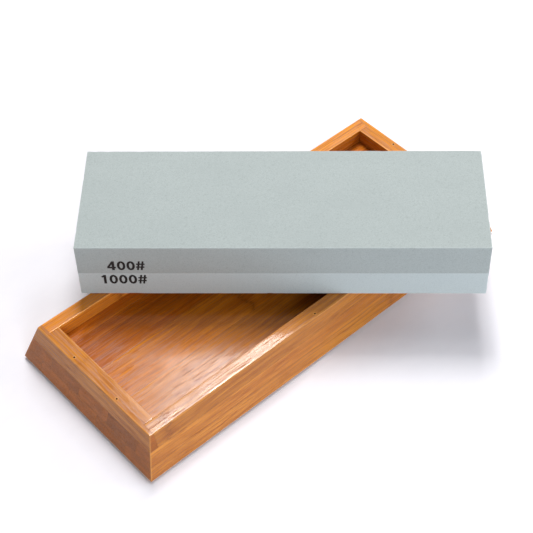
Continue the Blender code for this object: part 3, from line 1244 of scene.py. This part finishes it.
@dataclass
class Stone:
    """The loose stone: two bonded grits.

    Attributes:
        length: its length.
        width: its width.
        turn: how far it is turned from the tray's length.
        step: how closely its faces are parted.
        chip: how deep the chips in its edges go.
        chip_reach: how far from an edge a point still chips.
        chip_length: how long a chip is.
        chip_rarity: how rare chips are, from 0 to 1.
        grain_length: how long a notch between grains is.
    """

    length: float = 180.0 * MM
    width: float = 60.0 * MM
    turn: float = math.radians(-42.83)
    step: float = 1.2 * MM
    chip: float = 0.22 * MM
    chip_reach: float = 0.6 * MM
    chip_length: float = 4.0 * MM
    chip_rarity: float = 0.28
    grain_length: float = 0.9 * MM
    seat: Matrix = field(init=False)
    bond: float = field(init=False)
    height: float = field(init=False)

    def __post_init__(self) -> None:
        """Reads where the stone lies and where its grits meet."""
        low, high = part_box("fine_stone")
        upper_low, upper_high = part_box("coarse_stone")
        middle = Vector(((low.x + high.x) / 2, (low.y + high.y) / 2, low.z))
        self.seat = Matrix.Translation(middle) @ Matrix.Rotation(self.turn, 4, "Z")
        self.bond = (high.z + upper_low.z) / 2 - low.z
        self.height = upper_high.z - low.z

    def build(self) -> None:
        """Builds both grits."""
        coarse = GritFinish("coarse_400_grit", (0.452, 0.499, 0.487), (0.360, 0.402, 0.394), 0.34, 1.0, 0.0)
        fine = GritFinish("fine_1000_grit", (0.560, 0.622, 0.618), (0.485, 0.552, 0.552), 0.24, 2.0, 0.5)
        self.make("grit_layer_coarse", "coarse_stone", "coarse_grit", (self.bond, self.height), coarse)
        self.make("grit_layer_fine", "fine_stone", "fine_grit", (0.0, self.bond), fine)

    def outline(self, height: float) -> Outline:
        """The stone's outline, which is the same at every height."""
        return rectangle(-self.length / 2, self.length / 2, -self.width / 2, self.width / 2)

    def make(self, name: str, node: str, slot: str, levels: Place, finish: GritFinish) -> None:
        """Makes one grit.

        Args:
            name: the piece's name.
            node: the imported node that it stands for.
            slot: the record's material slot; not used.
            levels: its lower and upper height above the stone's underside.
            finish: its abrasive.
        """
        base = Face.GRIT if levels[0] == 0 else Face.JOINT
        top = Face.JOINT if levels[0] == 0 else Face.GRIT
        prism = Prism(self.outline, [Face.GRIT] * 4, *levels, base, top)
        shape = eased(name, prism, ())
        parted(shape, steps_between(-self.length / 2, self.length / 2, self.step, 0))
        parted(shape, steps_between(-self.width / 2, self.width / 2, self.step, 1))
        parted(shape, steps_between(*levels, self.step, 2))
        parted(shape, prism.insets((REACH,)))
        store_distances(shape, prism, None)
        shape.normal_update()
        for vert in shape.verts:
            vert.co -= vert.normal * self.chipped(vert.co, prism)
        piece = place_mesh(name, shape)
        piece.matrix_world = self.seat
        finish_mesh(piece, finish.build())
        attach(piece, "stone")
        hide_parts(node)
        LOG.info("%s: %d faces", name, len(piece.data.polygons))

    def chipped(self, place: Vector, prism: Prism) -> float:
        """How far a point of the surface has worn in. Only the open edges chip."""
        nearest = sorted(far for far, side in prism.distances(place) if side.open)
        if nearest[1] > self.chip_reach:
            return 0.0
        grain = abs(noise.noise(place / self.grain_length)) * 0.25
        chip = max(0.0, noise.noise(place / self.chip_length) - self.chip_rarity) * 1.6
        return self.chip * min(1.0, grain + chip)


@dataclass
class GradeMarks:
    """The grit numbers, printed on the stone's long side in plain strokes.

    Attributes:
        stone: the stone that carries them.
        stroke: the figures' stroke width.
        proud: how far the ink stands off the stone.
        sunk: how far it soaks in.
        step: how closely a stroke's points stand.
        bleed: how much its width varies, as a share.
        bleed_length: over what length it does.
    """

    stone: Stone
    stroke: float = 1.12 * MM
    proud: float = 0.02 * MM
    sunk: float = 0.05 * MM
    step: float = 0.3 * MM
    bleed: float = 0.1
    bleed_length: float = 0.35 * MM

    def build(self) -> None:
        """Prints one row on each grit."""
        ink = InkFinish().build()
        rows = {
            "grade_mark_400": ("400#", (-74.6 * MM, 15.8 * MM), 4.17 * MM),
            "grade_mark_1000": ("1000#", (-78.8 * MM, 6.8 * MM), 4.25 * MM),
        }
        for name, (signs, start, pitch) in rows.items():
            self.print_row(name, [Mark(sign) for sign in signs], start, pitch, ink)

    def strokes(self, mark: Mark) -> list[tuple[Outline, bool, float]]:
        """A character's strokes.

        Args:
            mark: the character.

        Returns:
            Each stroke's points in millimetres from the foot's middle, whether it closes, and its weight.
        """
        if mark is Mark.NOUGHT:
            points = 40
            steps = [math.tau * step / points for step in range(points)]
            return [([(1.28 * math.cos(turn), 2.85 + 2.37 * math.sin(turn)) for turn in steps], True, 1.0)]
        if mark is Mark.ONE:
            return [([(0.45, 0.0), (0.45, 5.7)], False, 1.05), ([(0.5, 5.3), (-0.95, 4.3)], False, 0.85)]
        if mark is Mark.FOUR:
            return [
                ([(0.62, 0.0), (0.62, 5.7)], False, 1.05),
                ([(0.5, 5.4), (-1.72, 1.7)], False, 0.85),
                ([(-2.0, 1.65), (1.75, 1.65)], False, 0.95),
            ]
        return [
            ([(-1.2, 0.0), (-0.35, 5.7)], False, 0.78),
            ([(0.45, 0.0), (1.3, 5.7)], False, 0.78),
            ([(-1.95, 1.95), (1.8, 1.95)], False, 0.78),
            ([(-1.75, 3.85), (2.0, 3.85)], False, 0.78),
        ]

    def ribbon(self, shape: Shape, line: Outline, closes: bool, width: float) -> None:
        """Adds one inked stroke to a shape, as a thin closed body.

        Args:
            shape: what it is added to.
            line: the stroke's middle, in the stone's length and height.
            closes: whether its end joins its start.
            width: its width.
        """
        count = len(line)
        sections = []
        for here, (x, z) in enumerate(line):
            before = line[(here - 1) % count] if closes or here else line[here]
            after = line[(here + 1) % count] if closes or here < count - 1 else line[here]
            along = (Vector(after) - Vector(before)).normalized()
            aside = Vector((-along.y, along.x)) * width / 2
            aside *= 1 + self.bleed * noise.noise(Vector((x, 0.0, z)) / self.bleed_length)
            face = -self.stone.width / 2
            corners = [
                (x + s * aside.x, face + y, z + s * aside.y) for y in (-self.proud, self.sunk) for s in (1, -1)
            ]
            sections.append([shape.verts.new(corners[number]) for number in (0, 1, 3, 2)])
        skin(shape, sections + sections[:1] if closes else sections, len(sections[0]))
        if not closes:
            shape.faces.new(sections[0])
            shape.faces.new(sections[-1])

    def finely(self, line: Outline) -> Outline:
        """A straight stroke's points, at close steps."""
        start, end = Vector(line[0]), Vector(line[-1])
        count = max(2, round((end - start).length / self.step))
        return [tuple(start.lerp(end, step / count)) for step in range(count + 1)]

    def print_row(
        self, name: str, marks: Iterable[Mark], start: Place, pitch: float, ink: bpy.types.Material
    ) -> None:
        """Prints one row of characters.

        Args:
            name: the piece's name.
            marks: its characters.
            start: the foot of the first character, along the stone and above its underside.
            pitch: the step from one character to the next.
            ink: what they are printed with.
        """
        shapes = [bmesh.new(), bmesh.new()]
        first = True
        for number, mark in enumerate(marks):
            for line, closes, weight in self.strokes(mark):
                placed = [(start[0] + number * pitch + x * MM, start[1] + z * MM) for x, z in line]
                target = shapes[0] if first else shapes[1]
                self.ribbon(target, placed if closes else self.finely(placed), closes, self.stroke * weight)
                first = False
        for shape in shapes:
            bmesh.ops.recalc_face_normals(shape, faces=shape.faces)
        base, rest = place_mesh(name + "_first", shapes[0]), place_mesh(name + "_rest", shapes[1])
        join = base.modifiers.new("one_print", "BOOLEAN")
        join.operation, join.solver, join.use_self, join.object = "UNION", "EXACT", True, rest
        piece = place_mesh(name, taken_up(base))
        remove(rest)
        piece.matrix_world = self.stone.seat
        piece.data.materials.append(ink)
        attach(piece, "stone")
        LOG.info("%s: %d faces", name, len(piece.data.polygons))


# ---- The studio ----


COOL = (0.94, 1.0, 1.08)


@dataclass(frozen=True)
class Softbox:
    """A flat soft light that faces the object.

    Attributes:
        name: its name.
        azimuth: its bearing from +X, in degrees.
        elevation: its height above the ground, in degrees.
        distance: how far off it stands.
        size: its width and height.
        power: its power.
        colour: its colour.
    """

    name: str
    azimuth: float
    elevation: float
    distance: float
    size: Place
    power: float
    colour: Colour = (1.0, 1.0, 1.0)

    def build(self, target: Vector) -> None:
        """Hangs the light and turns it to the target."""
        light = bpy.data.lights.new(self.name, "AREA")
        light.shape = "RECTANGLE"
        light.size, light.size_y = self.size
        light.energy = self.power
        light.color = self.colour
        lamp = bpy.data.objects.new(self.name, light)
        bpy.context.scene.collection.objects.link(lamp)
        turn, rise = math.radians(self.azimuth), math.radians(self.elevation)
        outward = Vector((math.cos(rise) * math.cos(turn), math.cos(rise) * math.sin(turn), math.sin(rise)))
        lamp.location = target + outward * self.distance
        lamp.rotation_euler = outward.to_track_quat("Z", "Y").to_euler()


@dataclass
class Studio:
    """The camera, the lights and the floor.

    Attributes:
        camera_place: where the camera stands.
        camera_turn: its turns about X, Y and Z, in degrees.
        lens: its focal length, in millimetres, over a sensor of the width sensor.
        floor_side: how long the table's sides are, in floor_parts parts.
        room_light: how bright the room is, with seen_room for its walls as the camera sees them.
        target: what the lights face.
        lights: the softboxes.
    """

    camera_place: tuple[float, float, float] = (-0.27974, -0.32849, 0.50589)
    camera_turn: tuple[float, float, float] = (41.505, 1.1713, -41.796)
    lens: float = 96.466
    sensor: float = 36.0
    floor_side: float = 6.0
    floor_parts: int = 12
    room_light: float = 0.12
    seen_room: float = 1.0
    target: tuple[float, float, float] = (0.0, 0.0, 0.03)
    lights: tuple[Softbox, ...] = (
        Softbox("tall_window", 54.0, 66.0, 1.2, (0.17, 0.32), 6.1),
        Softbox("window_foot", 53.5, 54.5, 1.2, (0.17, 0.17), 0.9),
        Softbox("middle_window", 46.0, 57.0, 1.2, (0.17, 0.17), 0.95),
        Softbox("low_window", 38.0, 50.0, 1.2, (0.17, 0.17), 1.85),
        Softbox("high_window", 38.0, 67.0, 1.2, (0.17, 0.32), 2.15),
        Softbox("overhead_softbox", 14.0, 76.0, 1.2, (0.3, 0.3), 2.1),
        Softbox("front_softbox", -120.0, 22.0, 1.4, (0.6, 0.6), 7.3, COOL),
        Softbox("right_softbox", -72.0, 22.0, 1.4, (0.6, 0.6), 3.3, COOL),
        Softbox("far_right_softbox", -30.0, 30.0, 1.4, (0.6, 0.6), 3.6),
    )

    def build(self) -> None:
        """Builds the whole studio."""
        self.aim_camera()
        for light in self.lights:
            light.build(Vector(self.target))
        self.lay_floor()
        self.light_room()

    def aim_camera(self) -> None:
        """Sets up the camera."""
        lens = bpy.data.cameras.new("studio_camera")
        lens.lens, lens.sensor_width = self.lens, self.sensor
        lens.clip_start = 10 * MM
        camera = bpy.data.objects.new("studio_camera", lens)
        bpy.context.scene.collection.objects.link(camera)
        camera.location = self.camera_place
        camera.rotation_euler = Euler([math.radians(part) for part in self.camera_turn], "XYZ")
        bpy.context.scene.camera = camera

    def lay_floor(self) -> None:
        """Lays the pale table, parted finely enough to be more than one face."""
        shape = bmesh.new()
        parts = self.floor_parts
        bmesh.ops.create_grid(shape, x_segments=parts, y_segments=parts, size=self.floor_side / 2)
        floor = place_mesh("studio_table", shape)
        floor.data.materials.append(FloorFinish().build())

    def light_room(self) -> None:
        """Fills the room with a faint even light, and shows its walls as white as the table."""
        world = bpy.data.worlds.new("studio_room")
        world.use_nodes = True
        sheet = Sheet(world.node_tree)
        background = world.node_tree.nodes["Background"]
        sheet.feed(background.inputs["Color"], (1.0, 1.0, 1.0))
        direct = sheet.add("LightPath", {}).outputs["Is Camera Ray"]
        sheet.feed(background.inputs["Strength"], sheet.fade(direct, 0.0, 1.0, self.room_light, self.seen_room))
        bpy.context.scene.world = world
        bpy.context.scene.view_settings.view_transform = "Standard"


def main() -> None:
    """Builds the tray, the stone, its marks and the studio, in that order."""
    logging.basicConfig(level=logging.INFO, format="%(name)s: %(message)s")
    noise.seed_set(NOISE_SEED)
    Tray().build()
    stone = Stone()
    stone.build()
    GradeMarks(stone).build()
    Studio().build()


if __name__ == "__main__":
    main()
